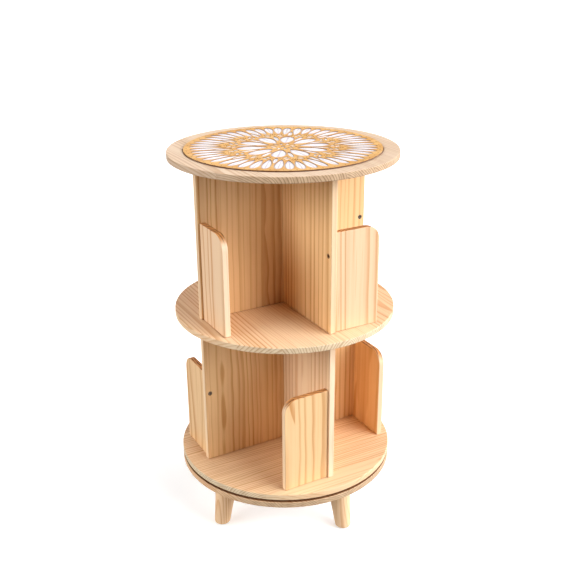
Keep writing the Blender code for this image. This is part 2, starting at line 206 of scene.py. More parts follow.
class Graph:
    """A new material, or a given tree, built node by node from numbers, tuples and sockets."""

    def __init__(self, name, tree=None):
        self.tree = tree
        if tree is None:
            self.material = bpy.data.materials.new(name)
            self.material.use_nodes = True
            self.tree = self.material.node_tree
            self.shader = self.tree.nodes["Principled BSDF"]

    def put(self, socket, value):
        if isinstance(value, bpy.types.NodeSocket):
            self.tree.links.new(value, socket)
        elif value is not None:
            socket.default_value = value

    def node(self, kind, inputs=(), **settings):
        node = self.tree.nodes.new(kind)
        for key, value in settings.items():
            setattr(node, key, value)
        pairs = inputs.items() if isinstance(inputs, dict) else enumerate(inputs)
        for key, value in pairs:
            self.put(node.inputs[key], value)
        return node

    def math(self, operation, a, b=None, clamp=False):
        values = [a] if b is None else [a, b]
        node = self.node("ShaderNodeMath", values, operation=operation, use_clamp=clamp)
        return node.outputs[0]

    def add(self, a, b):
        return self.math("ADD", a, b)

    def sub(self, a, b):
        return self.math("SUBTRACT", a, b)

    def mul(self, a, b):
        return self.math("MULTIPLY", a, b)

    def size(self, value):
        return self.math("ABSOLUTE", value)

    def length(self, a, b):
        return self.math("SQRT", self.add(self.mul(a, a), self.mul(b, b)))

    def centred(self, value):
        """A value from 0 to 1 made to swing about zero."""
        return self.sub(value, 0.5)

    def fit(self, value, low, high, out_low=0.0, out_high=1.0):
        """The value's place between low and high, eased, as one between the two outputs."""
        inputs = {"Value": value, "From Min": low, "From Max": high, "To Min": out_low, "To Max": out_high}
        return self.node("ShaderNodeMapRange", inputs, interpolation_type="SMOOTHSTEP").outputs[0]

    def vector(self, operation, a, b):
        return self.node("ShaderNodeVectorMath", (a, b), operation=operation).outputs[0]

    def join(self, x, y, z):
        return self.node("ShaderNodeCombineXYZ", (x, y, z)).outputs[0]

    def split(self, vector):
        return self.node("ShaderNodeSeparateXYZ", (vector,)).outputs

    def drawn_out(self, place, scales, shift=None):
        """A place scaled on each axis by itself, so that noise on it is drawn out along the grain."""
        scaled = self.join(*[self.mul(value, scale) for value, scale in zip(place, scales)])
        return scaled if shift is None else self.vector("ADD", scaled, shift)

    def surface(self):
        """Where on the object a point lies, and which way its surface looks."""
        outputs = self.node("ShaderNodeTexCoord").outputs
        return outputs["Object"], outputs["Normal"]

    def noise(self, vector, scale, detail=2.0, roughness=0.5, distortion=0.0):
        inputs = {
            "Vector": vector, "Scale": scale, "Detail": detail,
            "Roughness": roughness, "Distortion": distortion,
        }
        return self.node("ShaderNodeTexNoise", inputs).outputs[0]

    def mix(self, share, a, b, blend="MIX"):
        node = self.node("ShaderNodeMix", data_type="RGBA", blend_type=blend)
        for index, value in ((0, share), (6, a), (7, b)):
            self.put(node.inputs[index], value)
        return node.outputs[2]

    def bump(self, height, strength, distance):
        inputs = {"Strength": strength, "Distance": distance, "Height": height}
        return self.node("ShaderNodeBump", inputs).outputs[0]

    def finish(self, colour, roughness, normal=None, **uniform):
        self.put(self.shader.inputs["Base Color"], colour)
        self.put(self.shader.inputs["Roughness"], roughness)
        if normal is not None:
            self.put(self.shader.inputs["Normal"], normal)
        for key, value in uniform.items():
            self.shader.inputs[key.replace("_", " ")].default_value = value
        return self.material


def rgb(red, green, blue):
    """Linear colour from the 0 to 255 values of a swatch."""
    def linear(value):
        value /= 255
        return value / 12.92 if value <= 0.04045 else ((value + 0.055) / 1.055) ** 2.4
    return (linear(red), linear(green), linear(blue), 1.0)


# How each of the pine's noises is drawn out: waves per metre along the grain, across it and through
SLOW_WANDER = (3.2, 14.0, 14.0)
WAVY_WANDER = (12.0, 22.0, 22.0)
FIBRES = (26.0, 1300.0, 1300.0)
BANDS = (1.6, 95.0, 60.0)
STREAKS = (7.0, 420.0, 300.0)

# Where the pith lies beside and under each stave, and how the rings round it run
PITH_ASIDE = 0.018
PITH_BELOW = 0.012
PITH_SPREAD = 0.045
PITH_LEAN = 0.05
WAVE_PER_RING = 52.0
WANDER_ASIDE = 0.010
WANDER_BELOW = 0.006
UNEVEN_RINGS = 1.4

# How much each feature darkens the wood
LATE_LEAST = 0.40
LATE_VARIATION = 0.40
STREAK_DARKENING = 0.36
STAVE_DARKENING = 0.16
FIBRE_DARKENING = 0.30
WEAR_DARKENING = 0.14
SEAM_DARKENING = 0.25
BAND_LOW = 0.30
BAND_HIGH = 0.75
PINK_TINT = (1.0, 0.955, 1.0, 1.0)
# painted shade: a darker tint for board faces that look into the shaded gap between deck and base
GAP_SHADE_TINT = (0.36, 0.25, 0.18, 1.0)


def pine_group():
    """Sawn pine: growth rings round a pith in each glued stave, fibres, soft bands and streaks.

    Place is (along the grain, across the stave, through the board) in metres.
    """
    graph = Graph("pine_wood", bpy.data.node_groups.new("pine_wood", "ShaderNodeTree"))
    for in_out, kind, names in (
        ("INPUT", "Vector", ("Place", "Facing")),
        ("INPUT", "Float", ("Seed", "Stave", "Ring", "Wear", "Shaded side")),
        ("INPUT", "Color", ("Light", "Dark", "End light", "End dark", "Edge shading")),
        ("OUTPUT", "Color", ("Colour",)),
        ("OUTPUT", "Float", ("Roughness", "Height")),
    ):
        for name in names:
            graph.tree.interface.new_socket(name, in_out=in_out, socket_type="NodeSocket" + kind)
    given = graph.node("NodeGroupInput").outputs
    place = graph.split(given["Place"])
    along, across, through = place
    face_along, face_across, face_through = graph.split(given["Facing"])
    end_grain = graph.fit(graph.size(face_along), 0.25, 0.9)
    rounding = graph.math("MINIMUM", graph.length(face_along, face_across), graph.size(face_through))
    worn = graph.mul(graph.fit(rounding, 0.15, 0.60), given["Wear"])

    # which stave, and its own random numbers
    count = graph.math("DIVIDE", graph.add(across, given["Seed"]), given["Stave"])
    number = graph.math("FLOOR", count)
    inside = graph.centred(graph.math("FRACT", count))
    stave_across = graph.mul(inside, given["Stave"])
    seeds = {"Vector": graph.join(number, given["Seed"], 0.0)}
    chances = graph.node("ShaderNodeTexWhiteNoise", seeds, noise_dimensions="2D").outputs["Color"]
    chance_a, chance_b, chance_c = graph.split(chances)
    shifted = graph.vector("MULTIPLY", chances, (3.0, 3.0, 3.0))

    # growth rings round the pith, with a slow wander and short waves along the grain
    wander = graph.centred(graph.noise(graph.drawn_out(place, SLOW_WANDER, shifted), 1.0, 2.0))
    wave = graph.centred(graph.noise(graph.drawn_out(place, WAVY_WANDER, shifted), 1.0, 1.0))
    wander = graph.add(wander, graph.mul(wave, graph.mul(given["Ring"], WAVE_PER_RING)))
    side = graph.fit(chance_a, 0.49, 0.51, -1.0, 1.0)
    pith_across = graph.mul(side, graph.add(graph.mul(chance_b, PITH_SPREAD), PITH_ASIDE))
    pith_through = graph.add(graph.mul(chance_c, PITH_SPREAD), PITH_BELOW)
    lean = graph.mul(along, graph.sub(graph.mul(chance_b, PITH_LEAN), PITH_LEAN / 2))
    aside = graph.add(graph.sub(stave_across, pith_across), graph.mul(wander, WANDER_ASIDE))
    below = graph.add(graph.add(through, pith_through), graph.add(lean, graph.mul(wander, WANDER_BELOW)))
    distance = graph.length(aside, below)
    ring_width = graph.mul(graph.add(graph.mul(chance_a, 0.5), 0.75), given["Ring"])
    uneven = graph.noise(graph.join(graph.mul(distance, 110.0), number, given["Seed"]), 1.0, 1.0)
    turns = graph.add(graph.math("DIVIDE", distance, ring_width), graph.mul(uneven, UNEVEN_RINGS))
    rings = graph.math("FRACT", turns)
    late = graph.mul(graph.fit(rings, 0.45, 0.92), graph.fit(rings, 1.0, 0.94))

    # fibres, soft bands and fine dark streaks, all drawn out along the grain
    fibre = graph.noise(graph.drawn_out(place, FIBRES), 1.0, 3.0, 0.6)
    swing = graph.centred(fibre)
    band_place = graph.drawn_out(place, BANDS, shifted)
    band = graph.noise(band_place, 1.0, 2.0, 0.55)
    streak = graph.fit(graph.noise(graph.drawn_out(place, STREAKS, shifted), 1.0, 1.0), 0.63, 0.80)
    seam = graph.fit(graph.size(inside), 0.4965, 0.499)

    # the face's colour, from light to dark wood
    amount = graph.mul(late, graph.add(LATE_LEAST, graph.mul(chance_c, LATE_VARIATION)))
    amount = graph.add(amount, graph.fit(band, BAND_LOW, BAND_HIGH, -0.10, 0.22))
    amount = graph.add(amount, graph.mul(streak, STREAK_DARKENING))
    amount = graph.add(amount, graph.mul(graph.centred(chance_c), STAVE_DARKENING))
    amount = graph.add(amount, graph.mul(swing, FIBRE_DARKENING))
    amount = graph.add(amount, graph.mul(worn, WEAR_DARKENING))
    amount = graph.math("ADD", amount, graph.mul(seam, SEAM_DARKENING), clamp=True)
    colour = graph.mix(amount, given["Light"], given["Dark"])
    pink = graph.fit(graph.noise(band_place, 0.7, 1.0), 0.40, 0.65, 0.0, 0.35)
    colour = graph.mix(pink, colour, graph.mix(1.0, colour, PINK_TINT, "MULTIPLY"))
    # painted light and shade: the narrow edges that face across the staves take a per-piece colour, pale
    # on the lit edges of uprights and stops, dark on the top board's rim
    edge = graph.fit(graph.size(face_across), 0.5, 0.95, 0.0, 0.3)
    colour = graph.mix(edge, colour, given["Edge shading"])
    # painted shade: the chosen upper or lower face is darkened for the shaded gap between deck and base
    raw = graph.fit(graph.mul(face_through, given["Shaded side"]), 0.90, 0.99)
    colour = graph.mix(raw, colour, graph.mix(1.0, colour, GAP_SHADE_TINT, "MULTIPLY"))

    # the end grain's colour
    end_amount = graph.add(graph.mul(late, 0.85), graph.fit(band, BAND_LOW, BAND_HIGH, 0.0, 0.35))
    end_amount = graph.math("ADD", end_amount, graph.mul(swing, 0.4), clamp=True)
    end_colour = graph.mix(end_amount, given["End light"], given["End dark"])
    colour = graph.mix(end_grain, colour, end_colour)

    rough = graph.add(0.47, graph.mul(swing, 0.22))
    rough = graph.sub(rough, graph.add(graph.mul(late, 0.07), graph.mul(worn, 0.10)))
    rough = graph.math("ADD", rough, graph.mul(end_grain, 0.14), clamp=True)
    height = graph.add(graph.mul(fibre, 0.6), graph.mul(late, 0.5))
    height = graph.sub(height, graph.add(graph.mul(streak, 0.5), graph.mul(seam, 0.9)))
    graph.node("NodeGroupOutput", {"Colour": colour, "Roughness": rough, "Height": height})
    return graph.tree


PINE_WOOD = pine_group()
AXES = {"X": 0, "Y": 1, "Z": 2}

# light and dark wood on the face, light and dark end grain, then the long narrow edges, whose colour is
# painted light and shade set per piece
PALE_ENDS = (rgb(226, 206, 174), rgb(190, 158, 122))
# painted shade: darker, greyer end grain for the top board's rim
SHADED_GREY_ENDS = (rgb(208, 178, 144), rgb(150, 117, 87))
BASE_ENDS = (rgb(202, 172, 138), rgb(164, 132, 102))
SAWN_ENDS = (rgb(212, 148, 88), rgb(100, 56, 26))
# painted highlight: the pale colour of the lit narrow edges of uprights and stops
LIT_EDGE = (rgb(250, 236, 214),)
# painted shade: the dark colour of the top board's narrow rim edges
SHADED_EDGE = (rgb(150, 112, 76),)
SHELF_WOOD = (rgb(240, 207, 168), rgb(202, 144, 90)) + PALE_ENDS + (rgb(228, 190, 146),)
DECK_WOOD = (rgb(238, 203, 162), rgb(190, 132, 78)) + PALE_ENDS + (rgb(222, 182, 136),)
BASE_WOOD = (rgb(236, 200, 160), rgb(196, 138, 84)) + BASE_ENDS + (rgb(208, 164, 118),)
# painted shade: the top board's pine is a darker, greyer copy, so its top and rim look dimmer
SHADED_TOP_WOOD = (rgb(226, 201, 174), rgb(194, 156, 120)) + SHADED_GREY_ENDS + SHADED_EDGE
WARM_WOOD = (rgb(236, 196, 144), rgb(186, 127, 64)) + SAWN_ENDS + LIT_EDGE
FAIR_WOOD = (rgb(241, 206, 166), rgb(200, 142, 90)) + SAWN_ENDS + LIT_EDGE
STOP_WOOD = (rgb(234, 199, 161), rgb(200, 144, 94)) + SAWN_ENDS + LIT_EDGE
GOLDEN_STOP_WOOD = (rgb(230, 191, 142), rgb(192, 137, 80)) + SAWN_ENDS + LIT_EDGE
LEG_WOOD = (rgb(238, 202, 160), rgb(202, 144, 92)) + PALE_ENDS + (rgb(226, 184, 140),)


def pine(name, axes, seed, stave, ring, colours, wear=1.0, shift=(0, 0, 0), raw_side=0.0):
    """A pine material; axes names the grain's, the stave's and the thickness's axes, such as 'XYZ'.

    Its last argument is 1 or -1 for the board's upper or lower face, which gets painted shade: a darker
    tint for the shaded gap between deck and base.
    """
    graph = Graph(name)
    here, facing = graph.surface()
    order = [AXES[axis] for axis in axes]
    places = graph.split(graph.vector("SUBTRACT", here, tuple(shift)))
    ways = graph.split(facing)
    light, dark, end_light, end_dark, edge = colours
    wood = graph.node("ShaderNodeGroup", {
        "Place": graph.join(*[places[index] for index in order]),
        "Facing": graph.join(*[ways[index] for index in order]),
        "Seed": seed, "Stave": stave, "Ring": ring, "Wear": wear, "Shaded side": raw_side,
        "Light": light, "Dark": dark, "End light": end_light, "End dark": end_dark, "Edge shading": edge,
    }, node_tree=PINE_WOOD)
    bump = graph.bump(wood.outputs["Height"], 0.35, 0.00025)
    return graph.finish(
        wood.outputs["Colour"], wood.outputs["Roughness"], bump,
        Specular_IOR_Level=0.3, Coat_Weight=0.06, Coat_Roughness=0.35,
    )


def golden_wood():
    """Stained fretwork: fine straight grain, a darker cut edge that is partly burnt wood and partly
    painted shade, and paler blotches.
    """
    graph = Graph("golden_wood")
    here, facing = graph.surface()
    place = graph.split(here)
    up = graph.split(facing)[2]
    fine = graph.noise(graph.drawn_out(place, (40.0, 900.0, 1.0)), 1.0, 3.0, 0.6)
    broad = graph.noise(graph.drawn_out(place, (9.0, 70.0, 1.0)), 1.0, 2.0)
    blotch = graph.noise(here, 32.0, 2.0)
    share = graph.add(graph.fit(broad, 0.3, 0.7, 0.0, 0.55), graph.mul(graph.centred(fine), 0.7))
    colour = graph.mix(graph.math("ADD", share, 0.1, clamp=True), rgb(234, 186, 120), rgb(196, 138, 72))
    colour = graph.mix(graph.fit(blotch, 0.45, 0.75, 0.0, 0.3), colour, rgb(242, 206, 150))
    # burnt cut walls, darkened further as painted shade for the shadowed gaps round the openings and the
    # rim
    burnt_side_and_shade = graph.fit(graph.size(up), 0.75, 0.25)
    colour = graph.mix(graph.mul(burnt_side_and_shade, 0.9), colour, rgb(96, 54, 22))
    rough = graph.add(0.42, graph.mul(graph.centred(fine), 0.25))
    return graph.finish(colour, rough, graph.bump(fine, 0.3, 0.0002), Specular_IOR_Level=0.3)


# The heights between which painted shade fades out: the panel is grey where it lies low, in the fretwork's
# openings and the petals' grooves, and white higher up
PAINTED_SHADE_LOW = 0.6960
PAINTED_SHADE_HIGH = 0.6966


def white_panel():
    """Painted panel: faint brushed lay in the paint; painted shade makes it greyer where it lies low and
    brown on its steep sides.
    """
    graph = Graph("white_backing")
    here, facing = graph.surface()
    place = graph.split(here)
    brush = graph.noise(graph.drawn_out(place, (60.0, 700.0, 1.0)), 1.0, 2.0)
    mottle = graph.noise(here, 90.0, 3.0)
    # painted shade: the lower the surface lies, the greyer it is
    height = graph.fit(place[2], PAINTED_SHADE_LOW, PAINTED_SHADE_HIGH)
    colour = graph.mix(height, rgb(204, 192, 202), rgb(240, 236, 238))
    colour = graph.mix(graph.fit(mottle, 0.4, 0.75, 0.0, 0.25), colour, rgb(224, 216, 224))
    up = graph.split(facing)[2]
    # painted shade: steep sides turn dark brown, for the shade under the fretwork's overhang and along the
    # petals' edges
    painted_side_shade = graph.fit(graph.size(up), 0.80, 0.40, 0.0, 0.9)
    colour = graph.mix(painted_side_shade, colour, rgb(120, 76, 40))
    rough = graph.add(0.45, graph.mul(graph.centred(brush), 0.2))
    return graph.finish(colour, rough, graph.bump(brush, 0.15, 0.0001))


def steel(name, colour, rough_low, rough_high, grain):
    """Plated steel: a faint drawn grain with cloudier patches."""
    graph = Graph(name)
    here = graph.surface()[0]
    cloud = graph.noise(here, 240.0, 3.0)
    place = graph.split(here)
    drawn = graph.noise(graph.drawn_out(place, (grain, grain, 4 * grain)), 1.0, 2.0)
    darker = tuple(channel * 0.72 for channel in colour[:3]) + (1.0,)
    tone = graph.mix(graph.fit(cloud, 0.35, 0.7), colour, darker)
    mixed = graph.add(graph.mul(cloud, 0.6), graph.mul(drawn, 0.4))
    rough = graph.fit(mixed, 0.35, 0.65, rough_low, rough_high)
    return graph.finish(tone, rough, graph.bump(drawn, 0.12, 0.00005), Metallic=1.0)


def plain_wood(name, light, dark):
    """Close-grained turned wood for small hidden parts."""
    graph = Graph(name)
    here = graph.surface()[0]
    place = graph.drawn_out(graph.split(here), (900.0, 900.0, 60.0))
    fibre = graph.noise(place, 1.0, 3.0)
    fleck = graph.fit(graph.noise(place, 0.4, 1.0), 0.6, 0.75, 0.0, 0.5)
    colour = graph.mix(graph.math("ADD", graph.fit(fibre, 0.3, 0.7), fleck, clamp=True), light, dark)
    return graph.finish(colour, graph.fit(fibre, 0.3, 0.7, 0.45, 0.65), graph.bump(fibre, 0.3, 0.0001))


def moulded(name, colour, speck):
    """Moulded plastic: a fine satin texture with faint flow marks."""
    graph = Graph(name)
    here = graph.surface()[0]
    texture = graph.noise(here, 1800.0, 2.0)
    flow = graph.noise(here, 120.0, 2.0, 0.5, 1.5)
    tone = graph.mix(graph.fit(flow, 0.4, 0.7, 0.0, 0.6), colour, speck)
    return graph.finish(tone, graph.fit(texture, 0.3, 0.7, 0.42, 0.58), graph.bump(texture, 0.2, 0.00006))


GOLD = golden_wood()
WHITE = white_panel()
SCREW_STEEL = steel("screw_steel", rgb(150, 140, 130), 0.22, 0.42, 300.0)
ZINC = steel("zinc_steel", rgb(190, 192, 194), 0.28, 0.5, 200.0)
BEARING = steel("bearing_steel", rgb(150, 150, 152), 0.25, 0.45, 260.0)
BEECH = plain_wood("beech", rgb(226, 184, 138), rgb(190, 138, 92))
GLIDE = moulded("glide_plastic", rgb(222, 206, 180), rgb(206, 188, 160))


# -------------------- wood screws

SCREW_HEAD_RADIUS = 0.004
SCREW_HEAD_HEIGHT = 0.0024
SCREW_SHANK_RADIUS = 0.0018
SCREW_LENGTH = 0.038
SCREW_NECK = 0.012
SCREW_POINT = 0.005
SCREW_TIP = 0.0004
SOCKET_RADIUS = 0.0022
SOCKET_DEPTH = 0.0018
SOCKET_LIP = 0.0004
SOCKET_DIMPLE = 0.0003
HEAD_EDGE = 0.0002
SMALL_SEGMENTS = 48


def screw_hole(place, direction):
    """The countersink and pilot hole of one screw, as a cutter."""
    head = SCREW_HEAD_RADIUS + FIT
    shank = SCREW_SHANK_RADIUS + FIT
    bottom = -SCREW_LENGTH - FIT
    profile = [(0, SCREW_HEAD_HEIGHT), (head, SCREW_HEAD_HEIGHT), (head, 0)]
    profile += [(shank, -SCREW_HEAD_HEIGHT), (shank, bottom), (0, bottom)]
    return aimed(lathe("hole", profile, SMALL_SEGMENTS), direction, place)


THREAD_PITCH = 0.0020
THREAD_HEIGHT = 0.00075
THREAD_CORE = 0.72 * SCREW_SHANK_RADIUS
THREAD_SEGMENTS = 20
THREAD_ROWS_PER_TURN = 6
BLUNT_TIP = 0.15


def thread_radius(height, angle):
    """How far the threaded part reaches at a height below the head and an angle round it."""
    phase = (height / THREAD_PITCH + angle / math.tau) % 1.0
    ridge = max(0.0, 1.0 - abs(phase - 0.5) * 4)
    start = min(1.0, (-SCREW_NECK - height) / THREAD_PITCH)
    taper = min(1.0, (height + SCREW_LENGTH) / SCREW_POINT)
    return (THREAD_CORE + THREAD_HEIGHT * ridge * start) * (BLUNT_TIP + (1 - BLUNT_TIP) * taper)


def screw_mesh(name):
    """A countersunk screw with a hexagon socket, a plain neck and a helical thread."""
    shape = bmesh.new()
    levels = [(0.0, SOCKET_RADIUS + SOCKET_LIP), (0.0, SCREW_HEAD_RADIUS - HEAD_EDGE)]
    levels += [(-HEAD_EDGE, SCREW_HEAD_RADIUS), (-SCREW_HEAD_HEIGHT, SCREW_SHANK_RADIUS)]
    levels.append((-SCREW_NECK, SCREW_SHANK_RADIUS))
    row = THREAD_PITCH / THREAD_ROWS_PER_TURN
    count = int((SCREW_LENGTH - SCREW_NECK - SCREW_TIP) / row)
    levels += [(-SCREW_NECK - (index + 1) * row, None) for index in range(count)]
    angles = [step * math.tau / THREAD_SEGMENTS for step in range(THREAD_SEGMENTS)]
    rings = []
    for height, radius in levels:
        reaches = [thread_radius(height, angle) if radius is None else radius for angle in angles]
        rings.append([shape.verts.new(polar(*pair, height)) for pair in zip(reaches, angles)])
    # the hexagon socket, joined to the inner ring of the head
    face = math.tau / 6
    flat = SOCKET_RADIUS * math.cos(face / 2)
    reaches = [flat / math.cos(angle % face - face / 2) for angle in angles]
    mouth = [shape.verts.new(polar(*pair)) for pair in zip(reaches, angles)]
    floor = [shape.verts.new(vertex.co - UP * SOCKET_DEPTH) for vertex in mouth]
    centre = shape.verts.new((0, 0, -SOCKET_DEPTH - SOCKET_DIMPLE))
    tip = shape.verts.new((0, 0, -SCREW_LENGTH))
    loops = [floor, mouth] + rings
    for i in range(THREAD_SEGMENTS):
        j = (i + 1) % THREAD_SEGMENTS
        for one, other in zip(loops, loops[1:]):
            shape.faces.new([one[i], one[j], other[j], other[i]])
        shape.faces.new([rings[-1][i], rings[-1][j], tip])
        shape.faces.new([floor[i], floor[j], centre])
    return mesh_from(shape, name)


def screw_place(node, direction):
    """Where the head of a CAD screw lies: the end of its box that the direction points to."""
    low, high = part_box(node)
    middle = (low + high) / 2
    half = (high - low) / 2
    return middle + Vector([half[axis] * direction[axis] for axis in range(3)])


def screw_directions():
    """Every screw's node and the way its head looks."""
    found = {}
    for index, angle in enumerate(QUARTERS):
        for tier, sign in (("lower", -1), ("upper", 1)):
            way = -polar(sign, angle + math.pi / 2)
            found[f"{tier}_stop_screw_{index + 1}"] = Vector([round(value) for value in way])
        found[f"deck_screw_{index + 1}"] = -UP
        found[f"top_screw_{index + 1}"] = UP
    return found


SCREWS = screw_directions()


def add_screws():
    for name, direction in SCREWS.items():
        mesh = aimed(screw_mesh(name), direction, screw_place(name, direction))
        add_piece(name + "_body", mesh, "rack", SCREW_STEEL, [name], SMALL_SMOOTH_ANGLE)


def holes_for(kind, numbers):
    names = [f"{kind}_screw_{number}" for number in numbers]
    return [screw_hole(screw_place(name, SCREWS[name]), SCREWS[name]) for name in names]


# -------------------- round boards

DISC_SEGMENTS = 256
DISC_RINGS = (0.04, 0.12)
DISC_STAVE = 0.058
DISC_RING = 0.0046
RECESS_RADIUS = 0.172
RECESS_FLOOR = 0.6935
RECESS_LIP = 0.0004
DOWEL_RADIUS = 0.003
TEE_BARREL_RADIUS = 0.0053
TEE_BORE_SPARE = 0.02
BORE_SEGMENTS = 32


def disc_mesh(name, node):
    """A round board with rounded edges; the top one is recessed for the ornament."""
    low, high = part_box(node)
    bottom, top = low.z, high.z
    near, far = DISC_RINGS
    points = [(0, bottom), (near, bottom), (far, bottom), (high.x, bottom), (high.x, top)]
    radii = [0, 0, 0, EDGE_ROUND, EDGE_ROUND]
    if node == "top_board":
        points += [(RECESS_RADIUS, top), (RECESS_RADIUS, RECESS_FLOOR)]
        radii += [RECESS_LIP, 0]
        top = RECESS_FLOOR
    points += [(far, top), (near, top), (0, top)]
    radii += [0, 0, 0]
    return lathe(name, fillet(points, radii, ROUND_STEPS), DISC_SEGMENTS)


def bore(node, radius, spare):
    """An upright round hole for a CAD fixing, longer than it by spare at both ends, as a cutter."""
    low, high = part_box(node)
    bottom, top = low.z - spare, high.z + spare
    mesh = lathe("bore", [(0, bottom), (radius, bottom), (radius, top), (0, top)], BORE_SEGMENTS)
    middle = (low + high) / 2
    mesh.transform(Matrix.Translation((middle.x, middle.y, 0)))
    return mesh


def dowel_bores(numbers):
    return [bore(f"middle_dowel_{number}", DOWEL_RADIUS + FIT, FIT) for number in numbers]


def add_board(node, mesh, body, *looks, **more):
    material = pine("pine_" + node, *looks, **more)
    add_piece(node + "_wood", mesh, body, material, [node])


def add_discs():
    tee_bores = [bore(f"tee_nut_{n}", TEE_BARREL_RADIUS + FIT, TEE_BORE_SPARE) for n in NUMBERS]
    rows = (
        # node, body, axes, seed, colours, cutters, side painted with shade for the gap between deck and
        # base
        ("base_board", "base", "YXZ", 3.117, BASE_WOOD, tee_bores, 1.0),
        ("turntable_deck", "rack", "XYZ", 1.431, DECK_WOOD, holes_for("deck", NUMBERS), -1.0),
        ("middle_shelf", "rack", "YXZ", 5.262, SHELF_WOOD, dowel_bores(NUMBERS), 0.0),
        ("top_board", "rack", "YXZ", 7.713, SHADED_TOP_WOOD, holes_for("top", NUMBERS), 0.0),
    )
    for node, body, axes, seed, colours, cutters, raw_side in rows:
        mesh = cut_mesh(disc_mesh(node + "_wood", node), cutters)
        looks = (axes, seed, DISC_STAVE, DISC_RING, colours)
        add_board(node, mesh, body, *looks, shift=(0, 0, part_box(node)[0].z), raw_side=raw_side)


# -------------------- uprights and stops

UPRIGHT_STAVE = 0.084
UPRIGHT_RING = 0.0095
UPRIGHT_SEED_STEP = 2.37
SLOT_MARGIN = 0.001
CLOSE = 1e-5


def standing(looks_along_x, offset=0.0):
    """Maps a flat (reach, height, thickness) to a board that looks along X, or else along Y."""
    if looks_along_x:
        return Matrix(((0, 0, 1, offset), (1, 0, 0, 0), (0, 1, 0, 0), (0, 0, 0, 1)))
    return Matrix(((1, 0, 0, 0), (0, 0, -1, offset), (0, 1, 0, 0), (0, 0, 0, 1)))


def upright_outline(low, high, slot_half, slot_on_top):
    """The board's face as (reach, height) points, with its half-height slot."""
    reach = high[0]
    bottom, top = low[1], high[1]
    middle = (bottom + top) / 2
    if slot_on_top:
        level = middle - FIT / 2
        notch = [(slot_half, top), (slot_half, level), (-slot_half, level), (-slot_half, top)]
        return [(-reach, bottom), (reach, bottom), (reach, top)] + notch + [(-reach, top)]
    level = middle + FIT / 2
    notch = [(-slot_half, bottom), (-slot_half, level), (slot_half, level), (slot_half, bottom)]
    return [(-reach, bottom)] + notch + [(reach, bottom), (reach, top), (-reach, top)]


def add_uprights(tier, seed):
    for index, axis in enumerate("xy"):
        node = f"{tier}_upright_{axis}"
        low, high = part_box(node)
        along, thick = (0, 1) if axis == "x" else (1, 0)
        slot_half = (high[thick] - low[thick]) / 2 + FIT
        outline = upright_outline((low[along], low.z), (high[along], high.z), slot_half, axis == "x")

        def is_rounded(middle):
            """Every edge but the inner ones of the slot."""
            at_end = min(abs(middle.y - low.z), abs(middle.y - high.z)) < CLOSE
            return at_end or abs(middle.x) > slot_half + SLOT_MARGIN

        mesh = slab(node, outline, high[thick] - low[thick], standing(axis == "y"), is_rounded)
        own = (1, 3) if axis == "x" else (2, 4)
        cutters = holes_for(f"{tier}_stop", own)
        cutters += holes_for("deck" if tier == "lower" else "top", own)
        mesh = cut_mesh(mesh, cutters + dowel_bores(own))
        axes = "ZXY" if axis == "x" else "ZYX"
        colours = FAIR_WOOD if node == "lower_upright_y" else WARM_WOOD
        own_seed = seed + index * UPRIGHT_SEED_STEP
        add_board(node, mesh, "rack", axes, own_seed, UPRIGHT_STAVE, UPRIGHT_RING, colours)


STOP_CORNER = 0.026
CORNER_STEPS = 14
STOP_STAVE = 0.100
STOP_RING = 0.0054
STOP_SEED_STEP = 1.618


def stop_outline(first, last, bottom, top):
    """The stop's face from its joint to its free edge, with a round top outer corner."""
    way = 1 if last > first else -1
    corner = (last - way * STOP_CORNER, top - STOP_CORNER)
    points = [(first, bottom), (last, bottom)]
    for step in range(CORNER_STEPS + 1):
        angle = step / CORNER_STEPS * math.pi / 2
        across = corner[0] + way * STOP_CORNER * math.cos(angle)
        points.append((across, corner[1] + STOP_CORNER * math.sin(angle)))
    points.append((first, top))
    return points


def add_stops(tier, seed):
    for number in NUMBERS:
        node = f"{tier}_stop_{number}"
        low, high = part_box(node)
        middle = (low + high) / 2
        along_y = high.x - low.x < high.y - low.y
        across, thick = (1, 0) if along_y else (0, 1)
        first, last = sorted((low[across], high[across]), key=abs)
        outline = stop_outline(first, last, low.z, high.z)
        place = standing(along_y, middle[thick])
        mesh = slab(node, outline, high[thick] - low[thick], place, lambda middle: True)
        mesh = cut_mesh(mesh, holes_for(f"{tier}_stop", (number,)))
        axes = "ZYX" if along_y else "ZXY"
        colours = STOP_WOOD if tier == "upper" else GOLDEN_STOP_WOOD
        add_board(node, mesh, "rack", axes, seed + number * STOP_SEED_STEP, STOP_STAVE, STOP_RING, colours)


# -------------------- legs and glides

LEG_TOP_RADIUS = 0.0216
LEG_FOOT_RADIUS = 0.0146
LEG_TOP_ROUND = 0.0016
LEG_FOOT_ROUND = 0.0032
LEG_ROUND_STEPS = 6
LEG_SEGMENTS = 72
LEG_STAVE = 0.25
LEG_RING = 0.0045
LEG_SEED = 11.3
LEG_SEED_STEP = 2.9
BOLT_RADIUS = 0.004
GLIDE_TOP_ROUND = 0.0003
GLIDE_FOOT_ROUND = 0.0008
GLIDE_DIMPLE_RADIUS = 0.0035
GLIDE_DIMPLE_FLOOR = 0.0030
GLIDE_DIMPLE_EDGE = 0.0008
GLIDE_DIMPLE_DEPTH = 0.0010


def centre_of(node):
    low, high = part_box(node)
    return (low + high) / 2


